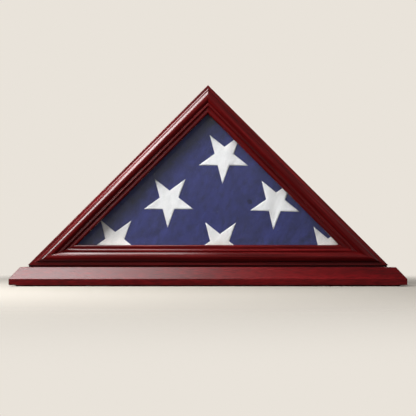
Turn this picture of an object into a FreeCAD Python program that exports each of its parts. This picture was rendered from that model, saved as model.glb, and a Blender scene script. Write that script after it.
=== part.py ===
# Folded flag display case: a right-angled triangular box of mitred boards with a moulded and glazed
# front frame, standing on a bevelled plinth, with a lift-out back held by turn buttons.
# Millimetres. +Z is up, +X is to the viewer's right and the glass faces -Y.
# The origin is at the middle of the floor under the plinth's pads.
import FreeCAD, Part
import Sketcher
import math
import os

doc = FreeCAD.newDocument("FlagCase")

# Driving dimensions
sheet = doc.addObject("Spreadsheet::Sheet", "Dims")
dimensions = {
    "case_width": 660,          # long side of the triangular case, which is half as high
    "wall_thickness": 19,
    "wall_depth": 70,
    "rear_edge": 14,            # width of a wall's rear edge beside the rabbet
    "rabbet_depth": 4.5,
    "base_width": 718,
    "base_depth": 113,
    "base_edge": 11.0,          # square edge below the plinth's bevel
    "bevel_rise": 21.2,
    "bevel_run": 17.4,
    "base_round": 1.4,
    "joint_setback": 38,        # plinth's front edge to the plane between frame and box
    "pad_height": 2.4,
    "pad_inner": 220,
    "pad_outer": 347,
    "pad_depth": 104,
    "foot_height": 3.2,         # thin board that lifts the case off the plinth
    "foot_inset": 1,
    "cut_margin": 1,            # cuts run this far past what they trim
    "mould_width": 37.2,        # across the front frame's section, from the outer edge inward
    "outer_round": 1.0,
    "fillet_in": 5.0,
    "cove_in": 7.3,
    "bead_out": 7.7,
    "flank_out": 20.4,          # where the bead runs over into a straight flank
    "bead_in": 23.2,
    "step_in": 26.7,
    "band_out": 30.6,
    "fillet_top": 9.0,          # heights of the section above the frame's rear face
    "cove_top": 12.5,
    "bead_foot": 13.3,
    "flank_top": 14.9,
    "bead_heel": 12.5,
    "step_top": 13.1,
    "band_top": 9.8,
    "lip_top": 10.3,
    "cove_radius": 4.2,
    "bead_radius": 9.0,
    "slope_radius": 5.0,
    "lip_radius": 3.4,
    "glass_seat": 29,           # outer edge of the frame's glass rabbet
    "glass_rabbet": 2.7,
    "glass_thickness": 2.3,
    "glass_play": 0.5,
    "stop_in": 34,
    "stop_depth": 6,
    "flag_inset": 25,           # case's outer edge to the folded packet
    "flag_setback": 14,         # joint plane to the packet's front
    "leaf_thickness": 3.6,
    "leaf_count": 13,
    "leaf_round": 1.5,
    "leaf_corner": 5,
    "star_radius": 48,
    "star_tall": 1.035,         # stars are a little taller than wide
    "star_column": 98.2,
    "star_row": 80.7,
    "star_tilt": 1.5,
    "star_turn": 2.3,           # each star's own turn, against the rows' tilt
    "star_middle": 23.8,        # bottom row's middle star: across, and above the case's floor
    "star_low": 37.3,
    "star_thickness": 0.6,
    "panel_thickness": 4,
    "panel_play": 0.6,
    "panel_recess": 0.3,
    "liner_thickness": 1,
    "liner_inset": 20,
    "button_length": 32,
    "button_width": 12,
    "button_thickness": 1.6,
    "button_end_radius": 6.6,
    "button_tail": 7,           # pivot to the button's short end
    "button_lift": 0.3,
    "button_hole": 1.75,
    "button_low": 120,          # along a leg, from its lower corner
    "button_high": 390,
    "button_spread": 150,       # along the bottom wall, from its middle
    "screw_radius": 1.7,
    "screw_length": 15,
    "screw_tip": 2.5,
    "screw_head_radius": 3.1,
    "screw_head_height": 1.6,
    "screw_head_play": 0.05,
    "screw_slot_width": 0.8,
    "screw_slot_depth": 0.7,
    "hanger_high": 300,         # along a leg, from its lower corner
    "strap_width": 7.2,
    "strap_length": 24,
    "strap_thickness": 0.9,
    "strap_hole": 17,           # ring's axis to the strap's screw
    "eye_radius": 1.85,
    "ring_wire": 1.0,
    "ring_play": 0.05,
    "ring_axis": 2.2,           # above the wall's rear edge
    "ring_bar": 3.8,
    "ring_corner": 1.5,
    "ring_side": 1.5,
    "base_screw_radius": 2.2,
    "base_screw_head": 4.4,
    "base_screw_length": 48,
    "base_hole": 2.4,
    "base_sink": 4.6,           # countersink, just wider than the screw's head
    "base_screw_near": 70,
    "base_screw_far": 190,
    "vnail_leg": 5,
    "vnail_sheet": 0.6,
    "vnail_depth": 7,
    "vnail_outer": 9,           # inset of the two V-nails of each mitre
    "vnail_inner": 18,
    "brad_radius": 0.8,
    "brad_length": 32,
    "brad_sink": 1,
    "brad_corner": 40,          # lower corner to its brads
    "brad_front": 18,
    "brad_rear": 52,
    "pin_radius": 0.6,
    "pin_inset": 9.5,
    "pin_front": 13.5,
    "pin_length": 30,
}
for row, (alias, size) in enumerate(dimensions.items(), start=1):
    sheet.set(f"A{row}", alias.replace("_", " "))
    sheet.set(f"B{row}", str(size))
    sheet.setAlias(f"B{row}", alias)
doc.recompute()

# Levels and planes that many pieces share
base_top = "(Dims.pad_height + Dims.base_edge + Dims.bevel_rise)"
case_floor = f"({base_top} + Dims.foot_height)"
joint_plane = "(Dims.joint_setback - Dims.base_depth/2)"
wall_rear = f"({joint_plane} + Dims.wall_depth)"
leg_length = "Dims.case_width/sqrt(2)"

# The three sides: start of the outer edge, its turn in the upright plane, its length and the
# cotangents of half its two corner angles
corner_cot = "(1 + sqrt(2))"
apex_cot = "1"
sides = {
    "bottom": ("-Dims.case_width/2", "0", 0, "Dims.case_width", corner_cot, corner_cot),
    "right": ("Dims.case_width/2", "0", 135, leg_length, corner_cot, apex_cot),
    "left": ("0", "Dims.case_width/2", 225, leg_length, apex_cot, corner_cot),
}
subparts = []
touching = 1e-4


# Sketches and placements

def number(expression):
    return float(sheet.evalExpression(expression))


def origin_plane(body, role):
    return next(feature for feature in body.Origin.OriginFeatures if feature.Role == role)


def add_body(label, is_subpart=True):
    body = doc.addObject("PartDesign::Body", label)
    body.Label = label
    if is_subpart:
        subparts.append(body)
    return body


def place(piece, x, y, z, turn=0, tip=0):
    # turn is in the upright plane, from +X towards +Z; tip is about the piece's own X axis first
    spin = FreeCAD.Rotation(FreeCAD.Vector(0, -1, 0), turn)
    lean = FreeCAD.Rotation(FreeCAD.Vector(1, 0, 0), tip)
    piece.Placement = FreeCAD.Placement(FreeCAD.Vector(), spin.multiply(lean))
    for axis, expression in zip("xyz", (x, y, z)):
        piece.setExpression(f"Placement.Base.{axis}", expression)


def side_point(side, along, inward):
    start_x, start_z, turn = sides[side][:3]
    x = f"{start_x} + ({along})*cos({turn} deg) - ({inward})*sin({turn} deg)"
    z = f"{case_floor} + {start_z} + ({along})*sin({turn} deg) + ({inward})*cos({turn} deg)"
    return x, z


def leg_point(side, from_corner, inward):
    along = from_corner if side == "right" else f"{leg_length} - {from_corner}"
    return side_point(side, along, inward)


def add_sketch(body, role):
    sketch = body.newObject("Sketcher::SketchObject", "Outline")
    sketch.AttachmentSupport = [(origin_plane(body, role), "")]
    sketch.MapMode = "FlatFace"
    return sketch


def bind(sketch, constraint, expression):
    index = sketch.addConstraint(constraint)
    sketch.setExpression(f"Constraints[{index}]", expression)


def arc_between(first, second, radius, centre_on_left):
    run = second - first
    across = FreeCAD.Vector(-run.y, run.x, 0).normalize()
    reach = math.sqrt(max(radius**2 - run.Length**2 / 4, 0))
    centre = (first + second) / 2 + across * (reach if centre_on_left else -reach)
    start, end = (first, second) if centre_on_left else (second, first)
    start_angle = math.atan2(start.y - centre.y, start.x - centre.x)
    end_angle = math.atan2(end.y - centre.y, end.x - centre.x)
    circle = Part.Circle(centre, FreeCAD.Vector(0, 0, 1), radius)
    return Part.ArcOfCircle(circle, start_angle, end_angle)


def draw_loop(sketch, corners):
    # A corner is (x, y), or (x, y, radius, hand) where an arc centred on that hand goes to the next
    first_index = sketch.GeometryCount
    points = [FreeCAD.Vector(number(corner[0]), number(corner[1]), 0) for corner in corners]
    ends = []
    for place_in_loop, corner in enumerate(corners):
        here = points[place_in_loop]
        there = points[(place_in_loop + 1) % len(points)]
        if len(corner) == 2:
            sketch.addGeometry(Part.LineSegment(here, there), False)
            ends.append((1, 2))
        else:
            on_left = corner[3] == "left"
            sketch.addGeometry(arc_between(here, there, number(corner[2]), on_left), False)
            ends.append((1, 2) if on_left else (2, 1))
    for place_in_loop, corner in enumerate(corners):
        after = (place_in_loop + 1) % len(corners)
        edge = first_index + place_in_loop
        sketch.addConstraint(Sketcher.Constraint(
            "Coincident", edge, ends[place_in_loop][1], first_index + after, ends[after][0]))
        for kind, expression in zip(("DistanceX", "DistanceY"), corner):
            bind(sketch, Sketcher.Constraint(kind, edge, ends[place_in_loop][0], number(expression)),
                 expression)
        if len(corner) > 2:
            bind(sketch, Sketcher.Constraint("Radius", edge, number(corner[2])), corner[2])


def draw_circle(sketch, x, y, radius):
    centre = FreeCAD.Vector(number(x), number(y), 0)
    edge = sketch.addGeometry(Part.Circle(centre, FreeCAD.Vector(0, 0, 1), number(radius)), False)
    bind(sketch, Sketcher.Constraint("DistanceX", edge, 3, centre.x), x)
    bind(sketch, Sketcher.Constraint("DistanceY", edge, 3, centre.y), y)
    bind(sketch, Sketcher.Constraint("Radius", edge, number(radius)), radius)


def pad(body, sketch, length, symmetric=False, backwards=False):
    feature = body.newObject("PartDesign::Pad", "Pad")
    feature.Profile = sketch
    feature.SideType = "Symmetric" if symmetric else "One side"
    feature.Reversed = backwards
    feature.setExpression("Length", length)
    doc.recompute()
    return feature


def cut(body, sketch, length=None, backwards=False):
    # With no length the cut goes right through, both ways
    before = body.Shape.Volume
    feature = body.newObject("PartDesign::Pocket", "Pocket")
    feature.Profile = sketch
    if length is None:
        feature.Type = "ThroughAll"
        feature.SideType = "Symmetric"
    else:
        feature.setExpression("Length", length)
        feature.Reversed = backwards
    doc.recompute()
    if body.Shape.Volume >= before:
        raise RuntimeError(f"{body.Label}: a cut removed nothing")
    return feature


def edge_names(feature, wanted):
    return [f"Edge{index}" for index, edge in enumerate(feature.Shape.Edges, start=1) if wanted(edge)]


def triangle(inset):
    # Corners of the case's outline moved inward, in the upright plane, above the case's floor
    half = f"(Dims.case_width/2 - {inset}*{corner_cot})"
    peak = f"Dims.case_width/2 - {inset}*sqrt(2)"
    return [(f"-{half}", inset), (half, inset), ("0", peak)]


def sheet_triangle(label, inset, thickness, front, is_subpart=True):
    body = add_body(label, is_subpart)
    sketch = add_sketch(body, "XZ_Plane")
    draw_loop(sketch, triangle(inset))
    pad(body, sketch, thickness, backwards=True)
    place(body, "0", front, case_floor)
    return body


def mitred_bar(label, side, section, reach):
    # A bar along one side: its section is (depth, inward), its ends are cut on the mitre lines
    start_x, start_z, turn, length, start_cot, end_cot = sides[side]
    body = add_body(label)
    profile = add_sketch(body, "YZ_Plane")
    draw_loop(profile, section)
    pad(body, profile, length)
    mitres = add_sketch(body, "XZ_Plane")
    draw_loop(mitres, [("0", "0"), (f"{reach}*{start_cot}", reach), ("0", reach)])
    draw_loop(mitres, [(length, "0"), (length, reach), (f"{length} - {reach}*{end_cot}", reach)])
    cut(body, mitres)
    place(body, start_x, joint_plane, f"{case_floor} + {start_z}", turn)
    return body


def group(label, pieces):
    compound = doc.addObject("Part::Compound", label)
    compound.Label = label
    compound.Links = pieces
    subparts.append(compound)
    return compound


# Plinth, foot board and pads

def base_plinth():
    body = add_body("base_plinth")
    outline = add_sketch(body, "XY_Plane")
    right = "Dims.base_width/2"
    rear = "Dims.base_depth/2"
    draw_loop(outline, [(f"-{right}", f"-{rear}"), (right, f"-{rear}"), (right, rear), (f"-{right}", rear)])
    board = pad(body, outline, "Dims.base_edge + Dims.bevel_rise")
    place(body, "0", "0", "Dims.pad_height")
    bevel_board(body, board)
    drill_board(body)


def bevel_board(body, board):
    # The bevel runs along the front and both ends; the rear stays square
    top = number("Dims.base_edge + Dims.bevel_rise")
    rear = number("Dims.base_depth/2")

    def on_bevelled_rim(edge):
        middle = edge.CenterOfMass
        return abs(middle.z - top) < touching and middle.y < rear - touching

    bevel = body.newObject("PartDesign::Chamfer", "Bevel")
    bevel.Base = (board, edge_names(board, on_bevelled_rim))
    bevel.ChamferType = "Two distances"
    bevel.setExpression("Size", "Dims.bevel_rise")
    bevel.setExpression("Size2", "Dims.bevel_run")
    doc.recompute()
    above_floor = edge_names(bevel, lambda edge: edge.BoundBox.ZMax > touching)
    rounding = body.newObject("PartDesign::Fillet", "Rounding")
    rounding.Base = (bevel, above_floor)
    rounding.setExpression("Radius", "Dims.base_round")
    doc.recompute()


def base_screw_places():
    return [f"{sign}Dims.base_screw_{name}" for sign in ("-", "") for name in ("near", "far")]


def drill_board(body):
    before = body.Shape.Volume
    marks = add_sketch(body, "XY_Plane")
    for x in base_screw_places():
        draw_circle(marks, x, f"{joint_plane} + Dims.wall_depth/2", "Dims.base_hole")
    doc.recompute()
    holes = body.newObject("PartDesign::Hole", "ScrewHoles")
    holes.Profile = marks
    doc.recompute()
    holes.setExpression("Diameter", "2*Dims.base_hole")
    holes.DepthType = "ThroughAll"
    holes.HoleCutType = "Countersink"
    holes.HoleCutCustomValues = True
    holes.setExpression("HoleCutDiameter", "2*Dims.base_sink")
    holes.HoleCutCountersinkAngle = 90
    holes.Reversed = True
    body.Tip = holes
    doc.recompute()
    if body.Shape.Volume >= before:
        raise RuntimeError("the plinth's screw holes cut nothing")


def foot_board():
    body = add_body("foot_board")
    outline = add_sketch(body, "XY_Plane")
    right = "(Dims.case_width/2 - Dims.foot_inset)"
    left = f"-{right}"
    draw_loop(outline, [(left, joint_plane), (right, joint_plane), (right, wall_rear), (left, wall_rear)])
    for x in base_screw_places():
        draw_circle(outline, x, f"{joint_plane} + Dims.wall_depth/2", "Dims.base_hole")
    pad(body, outline, "Dims.foot_height")
    place(body, "0", "0", base_top)


def felt_pad(label, left_edge):
    block = doc.addObject("Part::Box", label)
    block.Label = label
    block.setExpression("Length", "Dims.pad_outer - Dims.pad_inner")
    block.setExpression("Width", "Dims.pad_depth")
    block.setExpression("Height", "Dims.pad_height")
    place(block, left_edge, "-Dims.pad_depth/2", "0")
    subparts.append(block)


def turned_piece(name, corners):
    # A solid of revolution about its own Y axis; the corners are (radius, along the axis)
    body = add_body(name, is_subpart=False)
    profile = add_sketch(body, "XY_Plane")
    draw_loop(profile, corners)
    spin = body.newObject("PartDesign::Revolution", "Turning")
    spin.Profile = profile
    spin.ReferenceAxis = (profile, ["V_Axis"])
    spin.Angle = 360
    doc.recompute()
    return body


def base_screws():
    # Countersunk, heads down, flush with the plinth's underside
    head = "Dims.base_screw_head"
    shank = "Dims.base_screw_radius"
    length = "Dims.base_screw_length"
    screws = []
    for x in base_screw_places():
        screw = turned_piece("base_screw", [
            ("0", "0"), (head, "0"), (shank, f"{head} - {shank}"),
            (shank, f"{length} - 2*{shank}"), ("0", length)])
        place(screw, x, f"{joint_plane} + Dims.wall_depth/2", "Dims.pad_height", tip=90)
        screws.append(screw)
    group("base_screws", screws)


# Box walls, front rails, glass and its stops

def wall(side):
    depth = "Dims.wall_depth"
    ledge = "Dims.wall_depth - Dims.rabbet_depth"
    inner = "Dims.wall_thickness"
    section = [("0", "0"), (depth, "0"), (depth, "Dims.rear_edge"), (ledge, "Dims.rear_edge"),
               (ledge, inner), ("0", inner)]
    mitred_bar(f"wall_{side}", side, section, f"({inner} + Dims.cut_margin)")


def rail(side):
    # Section from the outer edge inward: fillet, cove, bead, flank, tilted step, slope, band, lip
    inward_and_height = [
        ("0", "0"),
        ("0", "Dims.fillet_top - Dims.outer_round", "Dims.outer_round", "right"),
        ("Dims.outer_round", "Dims.fillet_top"),
        ("Dims.fillet_in", "Dims.fillet_top", "Dims.cove_radius", "left"),
        ("Dims.cove_in", "Dims.cove_top"),
        ("Dims.bead_out", "Dims.cove_top"),
        ("Dims.bead_out", "Dims.bead_foot", "Dims.bead_radius", "right"),
        ("Dims.flank_out", "Dims.flank_top"),
        ("Dims.bead_in", "Dims.bead_heel"),
        ("Dims.step_in", "Dims.step_top", "Dims.slope_radius", "left"),
        ("Dims.band_out", "Dims.band_top"),
        ("Dims.mould_width - Dims.lip_radius", "Dims.lip_top", "Dims.lip_radius", "right"),
        ("Dims.mould_width", "Dims.lip_top - Dims.lip_radius"),
        ("Dims.mould_width", "Dims.glass_rabbet"),
        ("Dims.glass_seat", "Dims.glass_rabbet"),
        ("Dims.glass_seat", "0"),
    ]
    # Height stands towards the viewer, which is the bar's own -Y
    section = [(f"-({corner[1]})", corner[0], *corner[2:]) for corner in inward_and_height]
    mitred_bar(f"rail_{side}", side, section, "(Dims.mould_width + Dims.cut_margin)")


def glass_pane():
    sheet_triangle("glass_pane", "(Dims.glass_seat + Dims.glass_play)", "Dims.glass_thickness",
                   f"{joint_plane} - (Dims.glass_rabbet + Dims.glass_thickness)/2")


def glass_stop(side):
    depth = "Dims.stop_depth"
    outer = "Dims.wall_thickness"
    inner = "Dims.stop_in"
    section = [("0", outer), (depth, outer), (depth, inner), ("0", inner)]
    mitred_bar(f"glass_stop_{side}", side, section, f"({inner} + Dims.cut_margin)")


# Folded flag

def folded_flag():
    # A stack of equal leaves, each rounded where the cloth turns over
    body = sheet_triangle("folded_flag", "Dims.flag_inset", "Dims.leaf_thickness",
                          f"{joint_plane} + Dims.flag_setback")
    leaf = body.Tip
    corners = body.newObject("PartDesign::Fillet", "LeafCorners")
    corners.Base = (leaf, edge_names(leaf, lambda edge: edge.BoundBox.YLength > touching))
    corners.setExpression("Radius", "Dims.leaf_corner")
    doc.recompute()
    folds = body.newObject("PartDesign::Fillet", "LeafFolds")
    folds.Base = (corners, edge_names(corners, lambda edge: edge.BoundBox.YLength < touching))
    folds.setExpression("Radius", "Dims.leaf_round")
    doc.recompute()
    stack = body.newObject("PartDesign::LinearPattern", "Leaves")
    stack.TransformMode = "Whole shape"
    stack.Direction = (origin_plane(body, "Y_Axis"), [""])
    stack.Mode = "Spacing"
    stack.setExpression("Offset", "Dims.leaf_thickness")
    stack.setExpression("Occurrences", "Dims.leaf_count")
    body.Tip = stack
    doc.recompute()


def star_corners(column, row):
    # Five points, one of them down; the notches lie where the long edges cross
    across = f"{column}*Dims.star_column"
    up = f"{row}*Dims.star_row"
    x = f"Dims.star_middle + {across}*cos(Dims.star_tilt) + {up}*sin(Dims.star_tilt)"
    z = f"Dims.star_low - {across}*sin(Dims.star_tilt) + {up}*cos(Dims.star_tilt)"
    corners = []
    for step in range(10):
        reach = "Dims.star_radius" if step % 2 == 0 else "Dims.star_radius*cos(72 deg)/cos(36 deg)"
        bearing = f"(270 + 36*{step} - Dims.star_turn)"
        corners.append((f"{x} + {reach}*cos({bearing})", f"{z} + {reach}*Dims.star_tall*sin({bearing})"))
    return corners


def flag_stars():
    # Staggered rows of stars, trimmed where the cloth turns over at the packet's edges
    front = f"{joint_plane} + Dims.flag_setback - Dims.star_thickness"
    field = add_body("star_field", is_subpart=False)
    outlines = add_sketch(field, "XZ_Plane")
    for row in range(3):
        for column in range(row - 2, 3 - row, 2):
            draw_loop(outlines, star_corners(column, row))
    pad(field, outlines, "Dims.star_thickness", backwards=True)
    place(field, "0", front, case_floor)
    margin = "(Dims.flag_inset + Dims.leaf_round)"
    trim = sheet_triangle("star_trim", margin, "Dims.star_thickness", front, is_subpart=False)
    stars = doc.addObject("Part::Common", "flag_stars")
    stars.Label = "flag_stars"
    stars.Base = field
    stars.Tool = trim
    subparts.append(stars)


# Back panel, its liner and the turn buttons

def back_panel():
    panel_front = f"{wall_rear} - Dims.panel_recess - Dims.panel_thickness"
    sheet_triangle("back_panel", "(Dims.rear_edge + Dims.panel_play)", "Dims.panel_thickness", panel_front)
    sheet_triangle("back_liner", "Dims.liner_inset", "Dims.liner_thickness",
                   f"{panel_front} - Dims.liner_thickness")


def button_places():
    # Name, place and turn of each button: all lie along their wall, pointing down or to the middle
    middle = "Dims.case_width/2"
    inward = "Dims.rear_edge/2"
    return [
        ("left_upper", leg_point("left", "Dims.button_high", inward), 225),
        ("left_lower", leg_point("left", "Dims.button_low", inward), 225),
        ("right_upper", leg_point("right", "Dims.button_high", inward), 315),
        ("right_lower", leg_point("right", "Dims.button_low", inward), 315),
        ("bottom_left", side_point("bottom", f"{middle} - Dims.button_spread", inward), 0),
        ("bottom_right", side_point("bottom", f"{middle} + Dims.button_spread", inward), 180),
    ]


def turn_button(name, spot, turn):
    body = add_body(f"turn_button_{name}")
    tail = "-Dims.button_tail"
    tip = "Dims.button_length - Dims.button_tail"
    half = "Dims.button_width/2"
    shoulder = "Dims.button_end_radius - sqrt(Dims.button_end_radius^2 - Dims.button_width^2/4)"
    outline = add_sketch(body, "XZ_Plane")
    draw_loop(outline, [
        (f"{tail} + {shoulder}", f"-{half}"),
        (f"{tip} - ({shoulder})", f"-{half}", "Dims.button_end_radius", "left"),
        (tip, "0", "Dims.button_end_radius", "left"),
        (f"{tip} - ({shoulder})", half),
        (f"{tail} + {shoulder}", half, "Dims.button_end_radius", "left"),
        (tail, "0", "Dims.button_end_radius", "left")])
    draw_circle(outline, "0", "0", "Dims.button_hole")
    pad(body, outline, "Dims.button_thickness", backwards=True)
    place(body, spot[0], f"{wall_rear} + Dims.button_lift", spot[1], turn)


def pan_screw(spot, seat, turn):
    # Round-headed and slotted; the head stands on its seat and the shank goes into the wall
    height = "Dims.screw_head_height"
    screw = turned_piece("pan_screw", [
        ("0", "-Dims.screw_length"), ("Dims.screw_radius", "Dims.screw_tip - Dims.screw_length"),
        ("Dims.screw_radius", "0"), ("Dims.screw_head_radius", "0"),
        ("Dims.screw_head_radius", f"{height}/2"),
        (f"Dims.screw_head_radius - {height}/2", height), ("0", height)])
    slot = add_sketch(screw, "XZ_Plane")
    slot.setExpression("AttachmentOffset.Base.z", f"-{height}")
    half_width = "Dims.screw_slot_width/2"
    reach = "Dims.screw_head_radius + Dims.cut_margin"
    draw_loop(slot, [(f"-({reach})", f"-{half_width}"), (reach, f"-{half_width}"),
                     (reach, half_width), (f"-({reach})", half_width)])
    cut(screw, slot, "Dims.screw_slot_depth", backwards=True)
    place(screw, spot[0], seat, spot[1], turn)
    return screw


def turn_buttons():
    seat = f"{wall_rear} + Dims.button_lift + Dims.button_thickness + Dims.screw_head_play"
    slot_turn = 35
    screws = []
    for count, (name, spot, turn) in enumerate(button_places()):
        turn_button(name, spot, turn)
        screws.append(pan_screw(spot, seat, slot_turn * count))
    group("turn_button_screws", screws)


# Hangers: a strap with a rolled eye, a D-ring that swings in it, and a screw

def hanger_strap(side, spot, turn):
    # The strap lies below the ring's axis, down the leg, on the wall's rear edge
    body = add_body(f"dring_strap_{side}")
    plate = add_sketch(body, "YZ_Plane")
    face = "-Dims.ring_axis"
    back = f"{face} + Dims.strap_thickness"
    foot = "-Dims.strap_length"
    draw_loop(plate, [(face, foot), (back, foot), (back, "0"), (face, "0")])
    pad(body, plate, "Dims.strap_width", symmetric=True)
    eye = add_sketch(body, "YZ_Plane")
    draw_circle(eye, "0", "0", "Dims.eye_radius")
    pad(body, eye, "Dims.strap_width", symmetric=True)
    bore = add_sketch(body, "YZ_Plane")
    draw_circle(bore, "0", "0", "Dims.ring_wire + Dims.ring_play")
    cut(body, bore)
    hole = add_sketch(body, "XZ_Plane")
    draw_circle(hole, "0", "-Dims.strap_hole", "Dims.screw_radius + Dims.ring_play")
    cut(body, hole)
    place(body, spot[0], f"{wall_rear} + Dims.ring_axis", spot[1], turn)


def hanger_ring(side, spot, turn):
    # The straight bar lies in the eye and the bow hangs down over the strap
    body = add_body(f"dring_{side}")
    bar = "Dims.ring_bar"
    bend = "Dims.ring_corner"
    bow = f"({bar} + {bend})"
    low = f"-({bend} + Dims.ring_side)"
    path = add_sketch(body, "XZ_Plane")
    draw_loop(path, [
        ("0", "0"),
        (bar, "0", bend, "right"),
        (bow, f"-{bend}"),
        (bow, low, bow, "right"),
        ("0", f"{low} - {bow}", bow, "right"),
        (f"-{bow}", low),
        (f"-{bow}", f"-{bend}", bend, "right"),
        (f"-{bar}", "0")])
    wire = add_sketch(body, "YZ_Plane")
    draw_circle(wire, "0", "0", "Dims.ring_wire")
    doc.recompute()
    ring = body.newObject("PartDesign::AdditivePipe", "Ring")
    ring.Profile = wire
    ring.Spine = (path, [f"Edge{index + 1}" for index in range(path.GeometryCount)])
    doc.recompute()
    place(body, spot[0], f"{wall_rear} + Dims.ring_axis", spot[1], turn)


def hangers():
    strap_top = f"{wall_rear} + Dims.strap_thickness"
    screws = []
    for side, turn in (("left", -45), ("right", 45)):
        spot = leg_point(side, "Dims.hanger_high", "Dims.rear_edge/2")
        hanger_strap(side, spot, turn)
        hanger_ring(side, spot, turn)
        screw_spot = leg_point(side, "(Dims.hanger_high - Dims.strap_hole)", "Dims.rear_edge/2")
        screws.append(pan_screw(screw_spot, strap_top, turn))
    group("dring_screws", screws)


# Hidden fastenings

def mitre_vnails():
    # Two bent nails across each mitre of the frame, driven from behind
    corners = [("-Dims.case_width/2", "0", 22.5, 22.5), ("Dims.case_width/2", "0", 157.5, 22.5),
               ("0", "Dims.case_width/2", 270, 45)]
    tip = "Dims.vnail_leg/sqrt(2)"
    skin = "Dims.vnail_sheet*sqrt(2)"
    nails = []
    for corner_x, corner_z, turn, half_angle in corners:
        for inset in ("Dims.vnail_outer", "Dims.vnail_inner"):
            nail = add_body("vnail", is_subpart=False)
            outline = add_sketch(nail, "XZ_Plane")
            draw_loop(outline, [("0", "0"), (tip, f"-{tip}"), (tip, f"{skin} - {tip}"), (skin, "0"),
                                (tip, f"{tip} - {skin}"), (tip, tip)])
            pad(nail, outline, "Dims.vnail_depth")
            along = f"{inset}/sin({half_angle} deg)"
            place(nail, f"{corner_x} + {along}*cos({turn} deg)", joint_plane,
                  f"{case_floor} + {corner_z} + {along}*sin({turn} deg)", turn)
            nails.append(nail)
    group("mitre_vnails", nails)


def round_nail(name, radius, length):
    nail = doc.addObject("Part::Cylinder", name)
    nail.setExpression("Radius", radius)
    nail.setExpression("Height", length)
    return nail


def wall_brads():
    # Up through the bottom board into each leg, and along the right leg from the left one's face
    places = [
        (("-(Dims.case_width/2 - Dims.brad_corner)", f"{case_floor} + Dims.brad_sink"), 0),
        (("Dims.case_width/2 - Dims.brad_corner", f"{case_floor} + Dims.brad_sink"), 0),
        (side_point("right", f"{leg_length} - Dims.brad_sink", "Dims.wall_thickness/2"), 225),
    ]
    brads = []
    for spot, turn in places:
        for depth in ("Dims.brad_front", "Dims.brad_rear"):
            brad = round_nail("wall_brad", "Dims.brad_radius", "Dims.brad_length")
            place(brad, spot[0], f"{joint_plane} + {depth}", spot[1], turn)
            brads.append(brad)
    group("wall_brads", brads)


def frame_pins():
    # Headless pins from the cove's fillet into the front edges of the walls
    pins = []
    for side in sides:
        for share in (0.25, 0.75):
            pin = round_nail("frame_pin", "Dims.pin_radius", "Dims.pin_length")
            spot = side_point(side, f"{share}*{sides[side][3]}", "Dims.pin_inset")
            place(pin, spot[0], f"{joint_plane} - Dims.pin_front", spot[1], tip=-90)
            pins.append(pin)
    group("frame_pins", pins)


base_plinth()
foot_board()
felt_pad("felt_pad_left", "-Dims.pad_outer")
felt_pad("felt_pad_right", "Dims.pad_inner")
base_screws()
for side_name in sides:
    wall(side_name)
    rail(side_name)
    glass_stop(side_name)
glass_pane()
folded_flag()
flag_stars()
back_panel()
turn_buttons()
hangers()
mitre_vnails()
wall_brads()
frame_pins()
doc.recompute()

# Every object must have solved, and every sub-part must be a sound solid, before anything is written
failed = [item.Name for item in doc.Objects if {"Invalid", "Error"} & set(item.State)]
if failed:
    raise RuntimeError(f"failed objects: {failed}")
for piece in subparts:
    if piece.Shape.isNull() or not piece.Shape.isValid() or not piece.Shape.Solids:
        raise RuntimeError(f"{piece.Label}: no sound solid")
os.makedirs("parts", exist_ok=True)
for piece in subparts:
    piece.Shape.exportStep(f"parts/{piece.Label}.step")
    print(f"{piece.Label}: {len(piece.Shape.Solids)} solids, {piece.Shape.Volume / 1000:.2f} cm3")
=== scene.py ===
# Folded flag display case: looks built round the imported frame.
# Metres, +Z up, the glass faces -Y, and the origin is on the floor under the middle of the plinth.
import bmesh
import bpy
import math
from mathutils import Matrix, Vector, noise
from mathutils.bvhtree import BVHTree


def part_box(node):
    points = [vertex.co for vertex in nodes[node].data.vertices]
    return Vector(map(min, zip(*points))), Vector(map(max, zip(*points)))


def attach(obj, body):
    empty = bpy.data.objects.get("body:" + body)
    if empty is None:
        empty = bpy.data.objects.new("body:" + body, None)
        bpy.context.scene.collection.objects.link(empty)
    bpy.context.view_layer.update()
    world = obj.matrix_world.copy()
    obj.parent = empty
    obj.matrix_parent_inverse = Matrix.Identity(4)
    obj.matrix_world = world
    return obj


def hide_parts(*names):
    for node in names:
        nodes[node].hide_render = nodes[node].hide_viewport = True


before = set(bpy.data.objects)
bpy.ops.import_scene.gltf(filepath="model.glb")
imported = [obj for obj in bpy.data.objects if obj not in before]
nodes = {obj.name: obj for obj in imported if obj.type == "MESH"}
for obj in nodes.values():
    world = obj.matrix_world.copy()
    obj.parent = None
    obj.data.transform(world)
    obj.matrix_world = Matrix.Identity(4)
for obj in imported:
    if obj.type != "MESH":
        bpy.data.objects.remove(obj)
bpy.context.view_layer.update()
scene = bpy.context.scene
mm = 0.001
hair = 1e-7           # a distance that counts as none
noise.seed_set(1)     # the same ruffles on every run
print("frame loaded:", len(nodes), "nodes")


# Camera, straight on and a little above the plinth, as in the photograph
camera = {"place": (0, -1.8275, 0.05), "lens": 85.2, "sensor": 36, "rise": 0.1217, "far": 50}


def setCamera():
    data = bpy.data.cameras.new("camera")
    data.lens = camera["lens"]
    data.sensor_width = camera["sensor"]
    data.shift_y = camera["rise"]
    data.clip_end = camera["far"]
    eye = bpy.data.objects.new("camera", data)
    eye.location = camera["place"]
    eye.rotation_euler = (math.pi / 2, 0, 0)
    scene.collection.objects.link(eye)
    scene.camera = eye


setCamera()
print("camera set")


# Node helpers
def linear(code):
    # sRGB hex to the linear colour that shaders work in
    parts = [int(code[i:i + 2], 16) / 255 for i in (1, 3, 5)]
    return [p / 12.92 if p <= 0.04045 else ((p + 0.055) / 1.055) ** 2.4 for p in parts] + [1.0]


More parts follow.
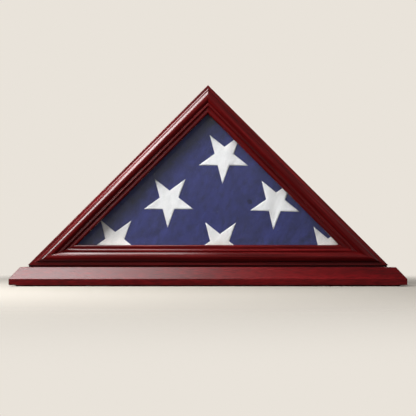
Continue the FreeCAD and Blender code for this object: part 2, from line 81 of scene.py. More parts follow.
def addNode(tree, kind, inputs=None, stops=None, **settings):
    # one node with its settings, its values and its links; stops are for a colour ramp;
    # an input goes by its name, or by its number where the node has several of that name
    node = tree.nodes.new("ShaderNode" + kind)
    for key, value in settings.items():
        setattr(node, key, value)
    for key, value in (inputs or {}).items():
        if isinstance(value, bpy.types.NodeSocket):
            tree.links.new(value, node.inputs[key])
        else:
            node.inputs[key].default_value = value
    for count, (place, code) in enumerate(stops or []):
        ramp = node.color_ramp.elements
        stop = ramp[count] if count < 2 else ramp.new(place)     # a new ramp has two stops
        stop.position = place
        stop.color = linear(code)
    return node


def newMaterial(name):
    material = bpy.data.materials.new(name)
    material.use_nodes = True
    tree = material.node_tree
    tree.nodes.clear()
    coords = addNode(tree, "TexCoord").outputs["Object"]
    return material, tree, coords


def finishMaterial(tree, shader):
    addNode(tree, "OutputMaterial", {"Surface": shader.outputs[0]})


# Wood. A noise cell is as long, wide and deep as the sizes say, and runs along the piece.
wood = {
    "figure": (0.32, 0.020, 0.020),       # broad bands of tone, 20 mm wide
    "streak": (0.11, 0.0017, 0.0017),     # grain lines, 1.7 mm apart
    "fleck": (0.014, 0.0019, 0.0019),     # short flecks of the plinth's cross-cut grain
    "pore": (0.016, 0.0008, 0.0008),      # pores, real ones 0.2 mm wide, drawn four times coarser to show
}
# Tones from the darkest to the lightest. The plinth is sanded less than the mouldings,
# so its shine is duller and the stain goes deeper.
stain = {
    "moulding": {"tones": ("#360506", "#500809", "#6A1113"), "lines": "streak",
                 "roughness": 0.21, "ior": 1.5, "grit": 0.05},
    "plinth": {"tones": ("#330001", "#4E0003", "#680409"), "lines": "fleck",
               "roughness": 0.33, "ior": 1.42, "grit": 0.35},
}


def woodGrain(tree, coords, lean, lines="streak"):
    # figure, lines and pores of a board whose length is turned by lean about Y
    found = []
    for size, detail in ((wood["figure"], 3), (wood[lines], 3), (wood["pore"], 1)):
        along = addNode(tree, "Mapping", {"Vector": coords, "Rotation": (0, -lean, 0), "Scale": size},
                        vector_type="TEXTURE")
        grain = addNode(tree, "TexNoise", {"Vector": along.outputs[0], "Scale": 1.0, "Detail": detail,
                                           "Roughness": 0.55})
        found.append(grain.outputs["Fac"])
    return found


def stainedWood(name, lean, finish):
    # Poplar under dark red-brown stain and satin lacquer: deep colour with thin darker grain lines,
    # and a shine that the grain breaks into fine streaks
    material, tree, coords = newMaterial(name)
    figure, streak, pore = woodGrain(tree, coords, lean, finish["lines"])
    mixed = addNode(tree, "Mix", {"Factor": 0.55, "A": figure, "B": streak})
    deep, middle, light = finish["tones"]
    tone = addNode(tree, "ValToRGB", {"Fac": mixed.outputs["Result"]},
                   stops=[(0.34, deep), (0.66, light), (0.50, middle)])
    dark = addNode(tree, "MapRange", {"Value": pore, "From Min": 0.60, "From Max": 0.74,
                                      "To Min": 0.0, "To Max": 0.55})
    colour = addNode(tree, "Mix", {"Factor": dark.outputs["Result"], "A": tone.outputs["Color"],
                                   "B": linear("#1E0303")}, data_type="RGBA")
    relief = addNode(tree, "Math", {0: streak, 1: dark.outputs["Result"]}, operation="SUBTRACT")
    bump = addNode(tree, "Bump", {"Height": relief.outputs[0], "Strength": finish["grit"],
                                  "Distance": 0.15 * mm})
    sheen = addNode(tree, "MapRange", {"Value": streak, "From Min": 0.3, "From Max": 0.7,
                                       "To Min": finish["roughness"] - 0.03,
                                       "To Max": finish["roughness"] + 0.03})
    shader = addNode(tree, "BsdfPrincipled", {
        "Base Color": colour.outputs["Result"], "Roughness": sheen.outputs["Result"],
        "Normal": bump.outputs[0], "IOR": finish["ior"]})
    finishMaterial(tree, shader)
    return material


def bareWood(name, lean):
    # Sawn pine without finish: pale, dry, with soft yellow-brown grain
    material, tree, coords = newMaterial(name)
    figure, streak, pore = woodGrain(tree, coords, lean)
    mixed = addNode(tree, "Mix", {"Factor": 0.5, "A": figure, "B": streak})
    tone = addNode(tree, "ValToRGB", {"Fac": mixed.outputs["Result"]},
                   stops=[(0.36, "#B98E5C"), (0.64, "#DDBE90")])
    bump = addNode(tree, "Bump", {"Height": pore, "Strength": 0.4, "Distance": 0.2 * mm})
    shader = addNode(tree, "BsdfPrincipled", {
        "Base Color": tone.outputs["Color"], "Roughness": 0.72, "Normal": bump.outputs[0], "IOR": 1.5})
    finishMaterial(tree, shader)
    return material


def hardboard(name):
    # Pressed wood fibre, smooth side out: brown with darker flecks and a faint oiled shine
    material, tree, coords = newMaterial(name)
    fleck = addNode(tree, "TexNoise", {"Vector": coords, "Scale": 1 / (2.2 * mm), "Detail": 4,
                                       "Roughness": 0.7})
    cloud = addNode(tree, "TexNoise", {"Vector": coords, "Scale": 1 / (60 * mm), "Detail": 3})
    mixed = addNode(tree, "Mix", {"Factor": 0.35, "A": fleck.outputs["Fac"], "B": cloud.outputs["Fac"]})
    tone = addNode(tree, "ValToRGB", {"Fac": mixed.outputs["Result"]},
                   stops=[(0.36, "#4A2F1C"), (0.64, "#8A6440"), (0.5, "#6C4A2E")])
    bump = addNode(tree, "Bump", {"Height": fleck.outputs["Fac"], "Strength": 0.2, "Distance": 0.15 * mm})
    shader = addNode(tree, "BsdfPrincipled", {
        "Base Color": tone.outputs["Color"], "Roughness": 0.5, "Normal": bump.outputs[0], "IOR": 1.5})
    finishMaterial(tree, shader)
    return material


def floatGlass(name):
    # Clear float glass: it lets the light through and mirrors more towards the edge of view,
    # with a thin film of dust that lightens the dark cloth a little
    material, tree, coords = newMaterial(name)
    facing = addNode(tree, "LayerWeight", {"Blend": 0.5})
    steep = addNode(tree, "Math", {0: facing.outputs["Facing"], 1: 5.0}, operation="POWER")
    mirror = addNode(tree, "MapRange", {"Value": steep.outputs[0], "To Min": 0.04, "To Max": 1.0})
    clear = addNode(tree, "BsdfTransparent")
    shine = addNode(tree, "BsdfGlossy", {"Roughness": 0.02})
    smear = addNode(tree, "TexNoise", {"Vector": coords, "Scale": 1 / (90 * mm), "Detail": 4})
    film = addNode(tree, "MapRange", {"Value": smear.outputs["Fac"], "From Min": 0.3, "From Max": 0.7,
                                      "To Min": 0.014, "To Max": 0.018})
    dust = addNode(tree, "BsdfDiffuse", {"Color": linear("#E6E8EA")})
    hazed = addNode(tree, "MixShader", {"Fac": film.outputs["Result"], 1: clear.outputs[0],
                                        2: dust.outputs[0]})
    shader = addNode(tree, "MixShader", {"Fac": mirror.outputs["Result"], 1: hazed.outputs[0],
                                         2: shine.outputs[0]})
    finishMaterial(tree, shader)
    return material


# Cotton. Real threads are about 0.4 mm apart, drawn three times coarser so that they show.
cotton = {
    "thread": 1.3 * mm, "sheen": 0.02, "blue": ("#0F1544", "#2A3076"), "white": ("#E0E1E0", "#FAFAFA"),
    # rumples left by washing and folding: size, lean from upright, depth, and the share of the tone that is
    # their painted shade
    "rumple": (9 * mm, 9 * mm, 16 * mm), "lean": math.radians(25), "depth": 1.0 * mm, "share": 0.62,
}


def weave(tree, coords, thread):
    # plain weave from crossed threads, over and under in turn
    place = addNode(tree, "Mapping", {"Vector": coords, "Scale": (thread, thread, thread)},
                    vector_type="TEXTURE")
    turned = addNode(tree, "Mapping", {"Vector": place.outputs[0], "Rotation": (math.pi / 2, 0, 0)})
    bands = 2 * math.pi / 20     # one thread to a unit
    warp, weft = [addNode(tree, "TexWave", {"Vector": turned.outputs[0], "Scale": bands, "Distortion": 0.6},
                          wave_type="BANDS", bands_direction=way).outputs["Fac"] for way in ("X", "Y")]
    over = addNode(tree, "TexChecker", {"Vector": turned.outputs[0], "Scale": 1.0})
    crossed = addNode(tree, "Mix", {"Factor": over.outputs["Fac"], "A": warp, "B": weft})
    return crossed.outputs["Result"]


def wovenCloth(name, tones, thread, sheen):
    # Woven cotton: matt, with a soft thread relief, faint rumples whose shade is also painted into the
    # colour, and slightly uneven dye
    material, tree, coords = newMaterial(name)
    threads = weave(tree, coords, thread)
    dye = addNode(tree, "TexNoise", {"Vector": coords, "Scale": 1 / (38 * mm), "Detail": 4,
                                     "Roughness": 0.6})
    slub = addNode(tree, "TexNoise", {"Vector": coords, "Scale": 1 / (2.6 * mm), "Detail": 2})
    soft = addNode(tree, "Mix", {"Factor": 0.40, "A": dye.outputs["Fac"], "B": slub.outputs["Fac"]})
    slant = addNode(tree, "Mapping", {"Vector": coords, "Rotation": (0, cotton["lean"], 0),
                                      "Scale": cotton["rumple"]}, vector_type="TEXTURE")
    crushed = addNode(tree, "TexNoise", {"Vector": slant.outputs[0], "Scale": 1.0, "Detail": 2,
                                         "Roughness": 0.55})
    # painted shade of the rumples: their noise darkens and lightens the tone, mixed with the uneven dye
    dyeAndRumpleShade = addNode(tree, "Mix", {"Factor": cotton["share"], "A": soft.outputs["Result"],
                                 "B": crushed.outputs["Fac"]})
    mixed = addNode(tree, "Mix", {"Factor": 0.22, "A": dyeAndRumpleShade.outputs["Result"], "B": threads})
    tone = addNode(tree, "ValToRGB", {"Fac": mixed.outputs["Result"]},
                   stops=[(0.30, tones[0]), (0.70, tones[1])])
    waves = addNode(tree, "Bump", {"Height": crushed.outputs["Fac"], "Strength": 1.0,
                                   "Distance": cotton["depth"]})
    bump = addNode(tree, "Bump", {"Height": threads, "Strength": 0.30, "Distance": 0.25 * mm,
                                  "Normal": waves.outputs[0]})
    shader = addNode(tree, "BsdfPrincipled", {
        "Base Color": tone.outputs["Color"], "Roughness": 0.85, "Normal": bump.outputs[0], "IOR": 1.45,
        "Specular IOR Level": 0.25, "Sheen Weight": sheen, "Sheen Roughness": 0.45})
    finishMaterial(tree, shader)
    return material


def napCloth(name, tones, tuft, sheen):
    # Felt or velvet: short fibres that swallow the light face on and catch it at the rim,
    # drawn as tufts because single fibres are too fine to show
    material, tree, coords = newMaterial(name)
    fuzz = addNode(tree, "TexNoise", {"Vector": coords, "Scale": 1 / tuft, "Detail": 5, "Roughness": 0.75})
    stroke = addNode(tree, "TexNoise", {"Vector": coords, "Scale": 1 / (30 * mm), "Detail": 2})
    mixed = addNode(tree, "Mix", {"Factor": 0.4, "A": fuzz.outputs["Fac"], "B": stroke.outputs["Fac"]})
    tone = addNode(tree, "ValToRGB", {"Fac": mixed.outputs["Result"]},
                   stops=[(0.32, tones[0]), (0.68, tones[1])])
    bump = addNode(tree, "Bump", {"Height": fuzz.outputs["Fac"], "Strength": 0.6, "Distance": 0.5 * mm})
    shader = addNode(tree, "BsdfPrincipled", {
        "Base Color": tone.outputs["Color"], "Roughness": 0.95, "Normal": bump.outputs[0], "IOR": 1.45,
        "Specular IOR Level": 0.2, "Sheen Weight": sheen, "Sheen Roughness": 0.35})
    finishMaterial(tree, shader)
    return material


def platedSteel(name, tones, roughness, spangle):
    # Plated pressings: bright metal with a cloudy, lightly scuffed plating
    material, tree, coords = newMaterial(name)
    cells = addNode(tree, "TexVoronoi", {"Vector": coords, "Scale": 1 / spangle})
    scuff = addNode(tree, "TexNoise", {"Vector": coords, "Scale": 1 / (0.5 * mm), "Detail": 3})
    mixed = addNode(tree, "Mix", {"Factor": 0.5, "A": cells.outputs["Distance"], "B": scuff.outputs["Fac"]})
    tone = addNode(tree, "ValToRGB", {"Fac": mixed.outputs["Result"]},
                   stops=[(0.25, tones[0]), (0.70, tones[1])])
    rough = addNode(tree, "MapRange", {"Value": scuff.outputs["Fac"], "From Min": 0.3, "From Max": 0.7,
                                       "To Min": roughness - 0.08, "To Max": roughness + 0.1})
    bump = addNode(tree, "Bump", {"Height": scuff.outputs["Fac"], "Strength": 0.08, "Distance": 0.1 * mm})
    shader = addNode(tree, "BsdfPrincipled", {
        "Base Color": tone.outputs["Color"], "Metallic": 1.0, "Roughness": rough.outputs["Result"],
        "Normal": bump.outputs[0]})
    finishMaterial(tree, shader)
    return material


# Finishes of the frame's own nodes. The grain runs along the bottom pieces and up the two legs.
legLean = math.radians(45)
leans = {"along": 0.0, "left": legLean, "right": -legLean}
stainedNodes = {
    "foot_board": "along", "rail_bottom": "along", "wall_bottom": "along",
    "rail_left": "left", "wall_left": "left", "rail_right": "right", "wall_right": "right",
}
bareNodes = {"glass_stop_bottom": "along", "glass_stop_left": "left", "glass_stop_right": "right"}


def dressNodes():
    stained = {way: stainedWood("stained_poplar_" + way, turn, stain["moulding"])
               for way, turn in leans.items()}
    plinth = stainedWood("stained_poplar_plinth", leans["along"], stain["plinth"])
    bare = {way: bareWood("bare_pine_" + way, turn) for way, turn in leans.items()}
    glass = floatGlass("float_glass")
    board = hardboard("hardboard")
    brass = platedSteel("brass_plated_steel", ("#9A7432", "#D8B468"), 0.30, 2.5 * mm)
    zinc = platedSteel("zinc_plated_steel", ("#8F9296", "#C6C9CC"), 0.34, 3.0 * mm)
    chosen = {node: stained[way] for node, way in stainedNodes.items()}
    chosen |= {node: bare[way] for node, way in bareNodes.items()}
    chosen |= {"base_plinth": plinth, "glass_pane": glass, "back_panel": board}
    for node, piece in nodes.items():
        finish = chosen.get(node, brass if node.startswith("turn_button") else zinc)
        piece.material_slots[0].material = finish


dressNodes()
print("finishes given to the frame's nodes")


# New pieces
def newPiece(name, bm, material, body):
    mesh = bpy.data.meshes.new(name)
    bm.to_mesh(mesh)
    bm.free()
    for face in mesh.polygons:
        face.use_smooth = True
    piece = bpy.data.objects.new(name, mesh)
    scene.collection.objects.link(piece)
    piece.data.materials.append(material)
    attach(piece, body)
    return piece


def thicken(piece, thickness, offset):
    # offset 0 grows to both sides, 1 along the faces' own direction
    thick = piece.modifiers.new("thickness", "SOLIDIFY")
    thick.thickness = thickness
    thick.offset = offset


def cutAway(bm, place, out):
    # removes what lies beyond a plane
    bmesh.ops.bisect_plane(bm, geom=bm.verts[:] + bm.edges[:] + bm.faces[:], dist=hair,
                           plane_co=place, plane_no=out, clear_outer=True)


def putInOrder(bm):
    # some operators list their new parts in a chance order, and the settling would change with it
    tick = 0.01 * mm     # places are compared in steps of this size
    centres = {bm.verts: lambda v: v.co, bm.faces: lambda f: f.calc_center_median(),
               bm.edges: lambda e: (e.verts[0].co + e.verts[1].co) / 2}
    for parts, centre in centres.items():
        ranked = sorted(parts, key=lambda part: [round(c / tick) for c in centre(part)])
        for rank, part in enumerate(ranked):
            part.index = rank
        parts.sort()


# The folded flag: thirteen triangular leaves of four plies each, whose outermost plies are its two covers
packet = {
    "bottom": 62.8 * mm, "half": 269.7 * mm,      # right-angled triangle, 539 mm along the bottom
    "front": -4.5 * mm, "leaf": 3.6 * mm, "leaves": 13, "plies": 4, "thickness": 0.3 * mm,
    "turns": ("left", "bottom", "right", "bottom"),     # where one leaf after another turns over
    "reach": 3.15 * mm, "foldSteps": 6,           # how far a fold's round edge stands out, and its facets
    "ease": 2.0 * mm, "stagger": 0.3 * mm,        # how far in a loose edge lies, and how plies differ
    "cell": 4.495 * mm, "trim": 1.6 * mm,         # mesh of the covers, and how far in their rim starts
    "rim": ((1.0, 0.5), (0.5, 1.0), (0.1, 1.2)),     # steps of the rim, out and back in mm
    "flat": (1.524, 2.896),                       # the flag before it was folded
}
sides = {"left": (-1, 1), "right": (1, 1), "bottom": (0, -1)}     # outward directions in x and z


def sidePlane(side, inset):
    # a point on the packet's edge, moved in by inset, and the edge's outward direction
    out = Vector((sides[side][0], 0, sides[side][1])).normalized()
    corner = Vector((0, 0, packet["bottom"] + (0 if side == "bottom" else packet["half"])))
    return corner - out * inset, out


def depthFrom(side, point):
    # how far a point lies inside one of the packet's edges
    place, out = sidePlane(side, 0)
    return (place - point).dot(out)


def trimToPacket(bm, inset):
    for side in sides:
        cutAway(bm, *sidePlane(side, inset))


def coverMesh(y, facing):
    # a fine grid trimmed to the triangle, with its rim turned over towards the leaves
    bm = bmesh.new()
    across = round(packet["half"] / packet["cell"])
    turn = Matrix.Rotation(math.pi / 2, 4, "X")
    size = Matrix.Diagonal((2 * packet["half"], packet["half"], 1, 1))
    place = Matrix.Translation((0, y, packet["bottom"] + packet["half"] / 2))
    bmesh.ops.create_grid(bm, x_segments=2 * across, y_segments=across, size=0.5,
                          matrix=place @ turn @ size)
    trimToPacket(bm, packet["trim"])
    for out, back in packet["rim"]:
        rim = [edge for edge in bm.edges if edge.is_boundary]
        spread = bmesh.ops.extrude_edge_only(bm, edges=rim)
        for vert in (v for v in spread["geom"] if isinstance(v, bmesh.types.BMVert)):
            side = min(sides, key=lambda s: depthFrom(s, vert.co))
            vert.co += sidePlane(side, 0)[1] * out * mm - Vector((0, facing * back * mm, 0))
    putInOrder(bm)
    bmesh.ops.recalc_face_normals(bm, faces=bm.faces[:])
    return bm


# Sewn stars, in staggered rows with one point down
stars = {
    "radius": 48 * mm, "tall": 1.035, "column": 98.2 * mm, "row": 80.7 * mm, "tilt": math.radians(1.5),
    "middle": 23.8 * mm, "low": 75.1 * mm,        # bottom row's middle place
    "turn": math.radians(0.7), "skew": 0.05,      # the cloth is pulled a little on the bias
    # sewn by hand, so each one sits a little off its place: across and up in mm, turn in degrees
    "slips": ((-0.5, 0.1, 0.5), (-2.6, 1.4, -0.3), (0.6, -2.0, 0.8),
              (0.2, -1.5, -0.6), (0.6, 0.0, 0.8), (1.5, 1.4, -0.3)),
    "notch": math.cos(math.radians(72)) / math.cos(math.radians(36)),     # share of the radius
    "hem": 3.0 * mm, "cuts": 6, "thickness": 0.45 * mm, "lift": 0.1 * mm, "trim": 1.7 * mm,
    "stitchLength": 2.2 * mm, "stitchGap": 1.2 * mm, "stitchInset": 1.6 * mm, "stitchRadius": 0.28 * mm,
    "stitchMargin": 4 * mm,                       # no stitch lies nearer to the packet's edge
    "thread": 0.5 * mm, "threadSheen": 0.1, "threadTones": ("#CFD0CE", "#EDEDEA"),
    "before": -0.1,                               # a place before the cloth
}


def starPlaces():
    # centre and turn of each star: rows of three, two and one, from the bottom up
    cos, sin = math.cos(stars["tilt"]), math.sin(stars["tilt"])
    slips = iter(stars["slips"])
    for row in range(3):
        for column in range(row - 2, 3 - row, 2):
            across, up = column * stars["column"], row * stars["row"]
            aside, above, turn = next(slips)
            yield (Vector((stars["middle"] + across * cos + up * sin + aside * mm, 0,
                           stars["low"] - across * sin + up * cos + above * mm)),
                   stars["turn"] + math.radians(turn))


def inStar(point, margin):
    # whether a point of the front lies within a star widened by margin
    half = math.pi / 5     # from a tip to the next notch
    tip, notch = stars["radius"], stars["radius"] * stars["notch"]
    for centre, turn in starPlaces():
        offset = point - centre
        offset.z /= stars["tall"]
        offset.x -= stars["skew"] * offset.z
        reach = math.hypot(offset.x, offset.z)
        bearing = math.atan2(offset.x, -offset.z) + turn
        bend = abs((bearing + half) % (2 * half) - half)
        edge = tip * notch * math.sin(half) / (tip * math.sin(bend) + notch * math.sin(half - bend))
        if reach < edge + margin:
            return True
    return False


# Settling. Each cover grows a little within its held rim, and less at the places of the stars.
settling = {
    "growth": 0.014, "starGrowth": 0.001, "frames": 24, "quality": 6, "mass": 0.15,
    "stretch": 25, "bend": 4, "pressure": 0.4, "gravity": 0.15,
    "held": 5 * mm, "sewn": 1 * mm,               # width of the held rim, and of the seam round a star
    "cap": 1.8 * mm, "sag": 0.3 * mm,             # most that the cloth moves out and in
    "slide": 0.5,                                 # share of its sideways moves that is kept
}


def settle(bm, y, facing):
    # puckers a cover as pressed cloth does
    bm.verts.ensure_lookup_table()
    mesh = bpy.data.meshes.new("settling")
    bm.to_mesh(mesh)
    piece = bpy.data.objects.new("settling", mesh)
    scene.collection.objects.link(piece)
    rim = [v.index for v in bm.verts if abs(v.co.y - y) > hair
           or min(depthFrom(s, v.co) for s in sides) < settling["held"]]
    piece.vertex_groups.new(name="held").add(rim, 1.0, "REPLACE")
    seam = [v.index for v in bm.verts if inStar(v.co, settling["sewn"])]
    piece.vertex_groups.new(name="sewn").add(seam, 1.0, "REPLACE")
    modifier = piece.modifiers.new("cloth", "CLOTH")
    modifier.collision_settings.use_collision = False
    cloth = modifier.settings
    cloth.quality = settling["quality"]
    cloth.mass = settling["mass"]
    cloth.tension_stiffness = settling["stretch"]
    cloth.compression_stiffness = settling["stretch"]
    cloth.bending_stiffness = settling["bend"]
    cloth.vertex_group_mass = "held"
    cloth.vertex_group_shrink = "sewn"
    cloth.shrink_min = -settling["growth"]
    cloth.shrink_max = -settling["starGrowth"]
    cloth.use_pressure = True
    cloth.uniform_pressure_force = settling["pressure"]
    cloth.effector_weights.gravity = settling["gravity"]
    for moment in range(1, settling["frames"] + 1):
        scene.frame_set(moment)
    shown = piece.evaluated_get(bpy.context.evaluated_depsgraph_get())
    settled = shown.to_mesh()
    for vert, moved in zip(bm.verts, settled.vertices):
        shift = moved.co - vert.co
        limit = settling["cap"] if shift.y * facing > 0 else settling["sag"]
        outward = limit * math.tanh(shift.y * facing / limit)
        vert.co += Vector((shift.x, 0, shift.z)) * settling["slide"]
        vert.co.y += outward * facing
    shown.to_mesh_clear()
    scene.frame_set(1)
    bpy.data.objects.remove(piece)


# Creases left by the folding
creases = {
    "long": 75 * mm, "wide": 14 * mm, "depth": 1.4 * mm,
    "leans": ((math.radians(22), 1.0), (math.radians(-40), 0.6)),     # lean from upright, share of the depth
    "start": 6 * mm, "fade": 20 * mm,             # where they begin inside the edge, and over what width
    "calm": 0.85, "calmRings": (1 * mm, 5 * mm, 9 * mm, 13 * mm),     # flattened under and round a star
}


def creaseCloth(bm):
    # faint slanting creases, flattened under the stars and towards the rim
    for vert in bm.verts:
        margin = min(depthFrom(s, vert.co) for s in sides)
        rings = creases["calmRings"]
        sewn = sum(inStar(vert.co, ring) for ring in rings) / len(rings)
        fade = max(0, min(1, (margin - creases["start"]) / creases["fade"])) * (1 - creases["calm"] * sewn)
        for turn, share in creases["leans"]:
            along = vert.co.x * math.sin(turn) + vert.co.z * math.cos(turn)
            across = vert.co.x * math.cos(turn) - vert.co.z * math.sin(turn)
            wave = noise.noise((along / creases["long"], across / creases["wide"], turn))
            vert.co.y += wave * share * fade * creases["depth"]


def layPlies(bm):
    # inner plies; each leaf turns over into the next at a leg or at the bottom, all its plies round one axis
    leaf, leaves, plies, turns = (packet[key] for key in ("leaf", "leaves", "plies", "turns"))
    covers = ((0, 0), (leaves - 1, plies - 1))
    for index in range(leaves):
        before = turns[(index - 1) % len(turns)] if index else None
        after = turns[index % len(turns)] if index < leaves - 1 else None
        for ply in range(plies):
            if (index, ply) in covers:
                continue
            y = packet["front"] + index * leaf + (ply + 0.5) * leaf / plies
            loose = packet["ease"] + packet["stagger"] * ((ply + index) % 3)
            inset = {side: packet["reach"] if side in (before, after) else loose for side in sides}
            corners = []
            for one, other in (("left", "bottom"), ("bottom", "right"), ("right", "left")):
                place, out = sidePlane(one, inset[one])
                nextPlace, nextOut = sidePlane(other, inset[other])
                facings = Matrix(((out.x, out.z), (nextOut.x, nextOut.z)))
                spot = facings.inverted() @ Vector((place.dot(out), nextPlace.dot(nextOut)))
                corners.append(bm.verts.new((spot.x, y, spot.y)))
            face = bm.faces.new(corners)
            if not after:
                continue
            # round fold over the axis that lies between this leaf and the next
            place, out = sidePlane(after, packet["reach"])
            edge = max(face.edges, key=lambda e: ((e.verts[0].co + e.verts[1].co) / 2).dot(out))
            centre = Vector((place.x, packet["front"] + (index + 1) * leaf, place.z))
            axis = out.cross(Vector((0, 1, 0)))
            bmesh.ops.spin(bm, geom=[edge] + list(edge.verts), cent=centre, axis=axis,
                           angle=math.pi, steps=packet["foldSteps"])
    # a spun fold may face the other way from its ply
    bmesh.ops.recalc_face_normals(bm, faces=bm.faces[:])


def foldFlag():
    blueCotton = wovenCloth("blue_cotton", cotton["blue"], cotton["thread"], cotton["sheen"])
    rear = packet["front"] + packet["leaves"] * packet["leaf"]
    front = coverMesh(packet["front"], -1)
    back = coverMesh(rear, 1)
    settle(front, packet["front"], -1)
    settle(back, rear, 1)
    creaseCloth(front)
    surface = BVHTree.FromBMesh(front)
    whole = bpy.data.meshes.new("covers")
    layers = bmesh.new()
    layPlies(layers)
    for cover in (front, back):
        cover.to_mesh(whole)
        cover.free()
        layers.from_mesh(whole)
    flag = newPiece("folded_flag_cloth", layers, blueCotton, "case")
    thicken(flag, packet["thickness"], 0)
    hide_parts("folded_flag")
    print("flag folded:", len(flag.data.polygons), "faces")
    return flag, surface


def onCloth(surface, point, lift):
    # the point laid on the front cover and moved out from it by lift
    hit = surface.ray_cast(Vector((point.x, stars["before"], point.z)), Vector((0, 1, 0)))[0]
    return Vector((point.x, (hit.y if hit else packet["front"]) - lift, point.z))


def cutStar(centre, turn, surface):
    # one star with its hem, laid on the cloth, and the corners of its outline
    star = bmesh.new()
    # ten corners, of which every second one is drawn in to a notch
    outline = bmesh.ops.create_circle(star, cap_ends=True, segments=10, radius=stars["radius"])["verts"]
    bmesh.ops.scale(star, vec=[stars["notch"]] * 3, verts=outline[1::2])
    upright = Matrix.Rotation(math.pi / 2, 4, "X")
    pointDown = Matrix.Rotation(math.pi, 4, "Z")
    turned = Matrix.Rotation(turn, 4, "Y") @ upright @ pointDown
    stretch = Matrix.Diagonal((1, 1, stars["tall"], 1))
    stretch[0][2] = stars["skew"]
    bmesh.ops.transform(star, matrix=Matrix.Translation(centre) @ stretch @ turned, verts=outline)
    corners = [v.co.copy() for v in outline]
    hem = bmesh.ops.inset_region(star, faces=star.faces[:], thickness=stars["hem"])["faces"]
    bmesh.ops.poke(star, faces=[f for f in star.faces if f not in hem])
    bmesh.ops.subdivide_edges(star, edges=star.edges[:], cuts=stars["cuts"], use_grid_fill=True)
    bmesh.ops.triangulate(star, faces=star.faces[:])
    trimToPacket(star, stars["trim"])
    for vert in star.verts:
        vert.co = onCloth(surface, vert.co, stars["lift"])
    # every face looks at the glass, because the star's thickness grows that way
    star.normal_update()
    bmesh.ops.reverse_faces(star, faces=[f for f in star.faces if f.normal.y > 0])
    return star, corners


def runStitch(thread, corners, centre, surface):
    # running stitch just inside the folded hem
    pitch = stars["stitchLength"] + stars["stitchGap"]
    size = Matrix.Diagonal((stars["stitchLength"] / 2, stars["stitchRadius"], stars["stitchRadius"], 1))
    for start, end in zip(corners, corners[1:] + corners[:1]):
        run = end - start
        way = run.normalized()
        inward = Vector((way.z, 0, -way.x))
        inward *= 1 if inward.dot(centre - start) > 0 else -1
        for count in range(1, int(run.length / pitch)):
            spot = start + way * count * pitch + inward * stars["stitchInset"]
            if min(depthFrom(s, spot) for s in sides) < stars["stitchMargin"]:
                continue
            spot = onCloth(surface, spot, stars["lift"] + stars["thickness"])
            lay = Matrix.Translation(spot) @ way.to_track_quat("X", "Z").to_matrix().to_4x4()
            bmesh.ops.create_icosphere(thread, subdivisions=1, radius=1, matrix=lay @ size)


def sewStars(surface):
    whiteCotton = wovenCloth("white_cotton", cotton["white"], cotton["thread"], cotton["sheen"])
    cloth, thread = bmesh.new(), bmesh.new()
    for centre, turn in starPlaces():
        star, corners = cutStar(centre, turn, surface)
        part = bpy.data.meshes.new("star")
        star.to_mesh(part)
        star.free()
        cloth.from_mesh(part)
        runStitch(thread, corners, centre, surface)
    sewn = newPiece("sewn_stars", cloth, whiteCotton, "case")
    thicken(sewn, stars["thickness"], 1)
    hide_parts("flag_stars")
    whiteThread = wovenCloth("white_thread", stars["threadTones"], stars["thread"], stars["threadSheen"])
    stitches = newPiece("star_stitches", thread, whiteThread, "case")
    print("stars sewn:", len(sewn.data.polygons), "faces,", len(stitches.data.polygons), "stitch faces")
    return sewn, stitches


flag, frontSurface = foldFlag()
sewnStars, starStitches = sewStars(frontSurface)


# Felt pads under the plinth
pads = {
    "tones": ("#120905", "#2C1A11"), "tuft": 0.9 * mm, "sheen": 0.3,
    "edge": 0.7 * mm, "segments": 3,              # its rounded edges
    "cuts": 11, "longEdge": 20 * mm,              # edges longer than this are cut up for the ruffle
    "ruffle": 0.12 * mm, "ruffles": 180,          # depth, and how many to the metre
}


def cutPads():
    felt = napCloth("pressed_felt", pads["tones"], pads["tuft"], pads["sheen"])
    for node in ("felt_pad_left", "felt_pad_right"):
        low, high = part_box(node)
        middle = (low + high) / 2
        bm = bmesh.new()
        size = Matrix.Diagonal((*(high - low), 1))
        bmesh.ops.create_cube(bm, size=1, matrix=Matrix.Translation(middle) @ size)
        bmesh.ops.bevel(bm, geom=bm.edges[:], offset=pads["edge"], offset_type="OFFSET", affect="EDGES",
                        segments=pads["segments"], profile=0.5, material=-1)
        longEdges = [e for e in bm.edges if e.calc_length() > pads["longEdge"]]
        bmesh.ops.subdivide_edges(bm, edges=longEdges, cuts=pads["cuts"], use_grid_fill=True)
        putInOrder(bm)
        for vert in bm.verts:
            wave = noise.noise_vector(vert.co * pads["ruffles"]) * pads["ruffle"]
            # the top and the bottom only draw in
            wave.z = min(0, wave.z) if vert.co.z > middle.z else max(0, wave.z)
            vert.co += wave
        bmesh.ops.recalc_face_normals(bm, faces=bm.faces[:])
        pad = newPiece(node + "_felt", bm, felt, "case")
        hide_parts(node)
    print("felt pads cut")


cutPads()


# Velvet liner stretched over the inside of the back panel
liner = {
    "tones": ("#050509", "#10111C"), "tuft": 1.1 * mm, "sheen": 0.5,
    "cell": 6 * mm,                               # mesh
    "pile": 0.15 * mm, "waves": 90,               # height of the pile's waves, and how many to the metre
}


def stretchLiner():
    velvet = napCloth("short_velvet", liner["tones"], liner["tuft"], liner["sheen"])
    low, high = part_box("back_liner")
    wide, rise = high.x - low.x, high.z - low.z
    bm = bmesh.new()
    cells = round(rise / liner["cell"])
    place = Matrix.Translation((0, (low.y + high.y) / 2, (low.z + high.z) / 2))
    upright = Matrix.Rotation(math.pi / 2, 4, "X")
    bmesh.ops.create_grid(bm, x_segments=2 * cells, y_segments=cells, size=0.5,
                          matrix=place @ upright @ Matrix.Diagonal((wide, rise, 1, 1)))
    for across in (-1, 1):
        cutAway(bm, (0, 0, high.z), (across * rise, 0, high.x))
    for vert in bm.verts:
        vert.co.y += noise.noise(vert.co * liner["waves"]) * liner["pile"]
    bmesh.ops.recalc_face_normals(bm, faces=bm.faces[:])
    cover = newPiece("back_liner_velvet", bm, velvet, "back")
    thicken(cover, high.y - low.y - 2 * liner["pile"], 0)
    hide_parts("back_liner")
    print("liner stretched")


stretchLiner()


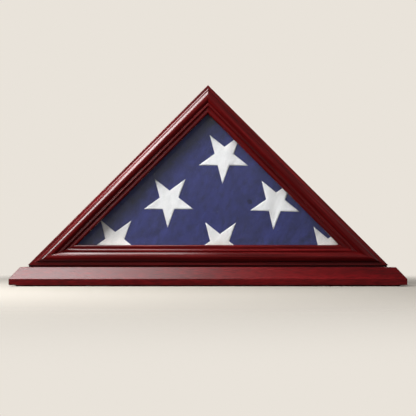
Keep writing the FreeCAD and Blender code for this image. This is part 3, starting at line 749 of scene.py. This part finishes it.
# Stage: a pale floor that fades into a pale surround, under a softbox to the upper left
# and two overlapping panels above, whose shine fades along the plinth
stage = {
    "radius": 4.0, "facets": 96, "near": 0.4, "far": 1.4,     # the floor fades from near to far
    "pale": "#E9E3DA", "floor": "#9E9991",
    "above": 0.11, "below": 0.01,                 # glow of the surround on the object
    "dim": -0.3, "full": 0.1,                     # slopes between which the glow grows
}
lamps = {
    # place, point it faces, width, height, radiance
    "key": ((-0.80, -0.80, 0.87), (0, 0, 0.15), 0.65, 0.65, 17.5),
    "over": ((-0.62, -0.27, 0.95), (-0.62, -0.27, 0), 0.66, 0.46, 7.5),
    "overEdge": ((-0.50, -0.27, 0.951), (-0.50, -0.27, 0), 0.90, 0.46, 6.0),
    "fill": ((1.2, -2.6, 0.5), (0, 0, 0.15), 2.5, 2.5, 0.85),
    "side": ((4.2, 1.2, 2.2), (0, 0, 0.15), 3.0, 3.0, 0.25),
    "rear": ((1.5, 4.0, 2.9), (0, 0, 0.15), 3.0, 3.0, 5.0),
}


def layFloor():
    bm = bmesh.new()
    bmesh.ops.create_circle(bm, cap_ends=True, segments=stage["facets"], radius=stage["radius"])
    mesh = bpy.data.meshes.new("floor")
    bm.to_mesh(mesh)
    bm.free()
    floor = bpy.data.objects.new("floor", mesh)
    scene.collection.objects.link(floor)
    material, tree, coords = newMaterial("pale_floor")
    reach = addNode(tree, "VectorMath", {0: coords}, operation="LENGTH")
    fade = addNode(tree, "MapRange", {"Value": reach.outputs["Value"], "From Min": stage["near"],
                                      "From Max": stage["far"]}, interpolation_type="SMOOTHSTEP")
    paint = addNode(tree, "BsdfDiffuse", {"Color": linear(stage["floor"])})
    clear = addNode(tree, "BsdfTransparent")
    shader = addNode(tree, "MixShader", {"Fac": fade.outputs["Result"], 1: paint.outputs[0],
                                         2: clear.outputs[0]})
    finishMaterial(tree, shader)
    floor.data.materials.append(material)
    floor.visible_glossy = False
    floor.visible_diffuse = False


def paintSurround():
    # pale to the eye, dim as a source, so that the lamps alone shape the wood
    world = bpy.data.worlds.new("surround")
    world.use_nodes = True
    scene.world = world
    tree = world.node_tree
    tree.nodes.clear()
    path = addNode(tree, "LightPath")
    seen = addNode(tree, "Background", {"Color": linear(stage["pale"]), "Strength": 1.0})
    way = addNode(tree, "SeparateXYZ", {"Vector": addNode(tree, "TexCoord").outputs["Generated"]})
    glow = addNode(tree, "MapRange", {"Value": way.outputs["Z"], "From Min": stage["dim"],
                                      "From Max": stage["full"], "To Min": stage["below"],
                                      "To Max": stage["above"]})
    source = addNode(tree, "Background", {"Color": (1, 1, 1, 1), "Strength": glow.outputs["Result"]})
    both = addNode(tree, "MixShader", {"Fac": path.outputs["Is Camera Ray"], 1: source.outputs[0],
                                       2: seen.outputs[0]})
    addNode(tree, "OutputWorld", {"Surface": both.outputs[0]})


def hangLamps():
    for name, (place, facing, width, height, radiance) in lamps.items():
        data = bpy.data.lights.new(name, "AREA")
        data.shape = "RECTANGLE"
        data.size, data.size_y = width, height
        data.energy = radiance * math.pi * width * height
        lamp = bpy.data.objects.new(name, data)
        lamp.location = place
        lamp.rotation_euler = (Vector(facing) - Vector(place)).to_track_quat("-Z", "Y").to_euler()
        lamp.visible_camera = False
        lamp.visible_glossy = name != "fill"     # lightens the shadows without a shine of its own
        scene.collection.objects.link(lamp)


layFloor()
paintSurround()
hangLamps()
scene.view_settings.view_transform = "Standard"
print("stage lit by", len(lamps), "lamps")
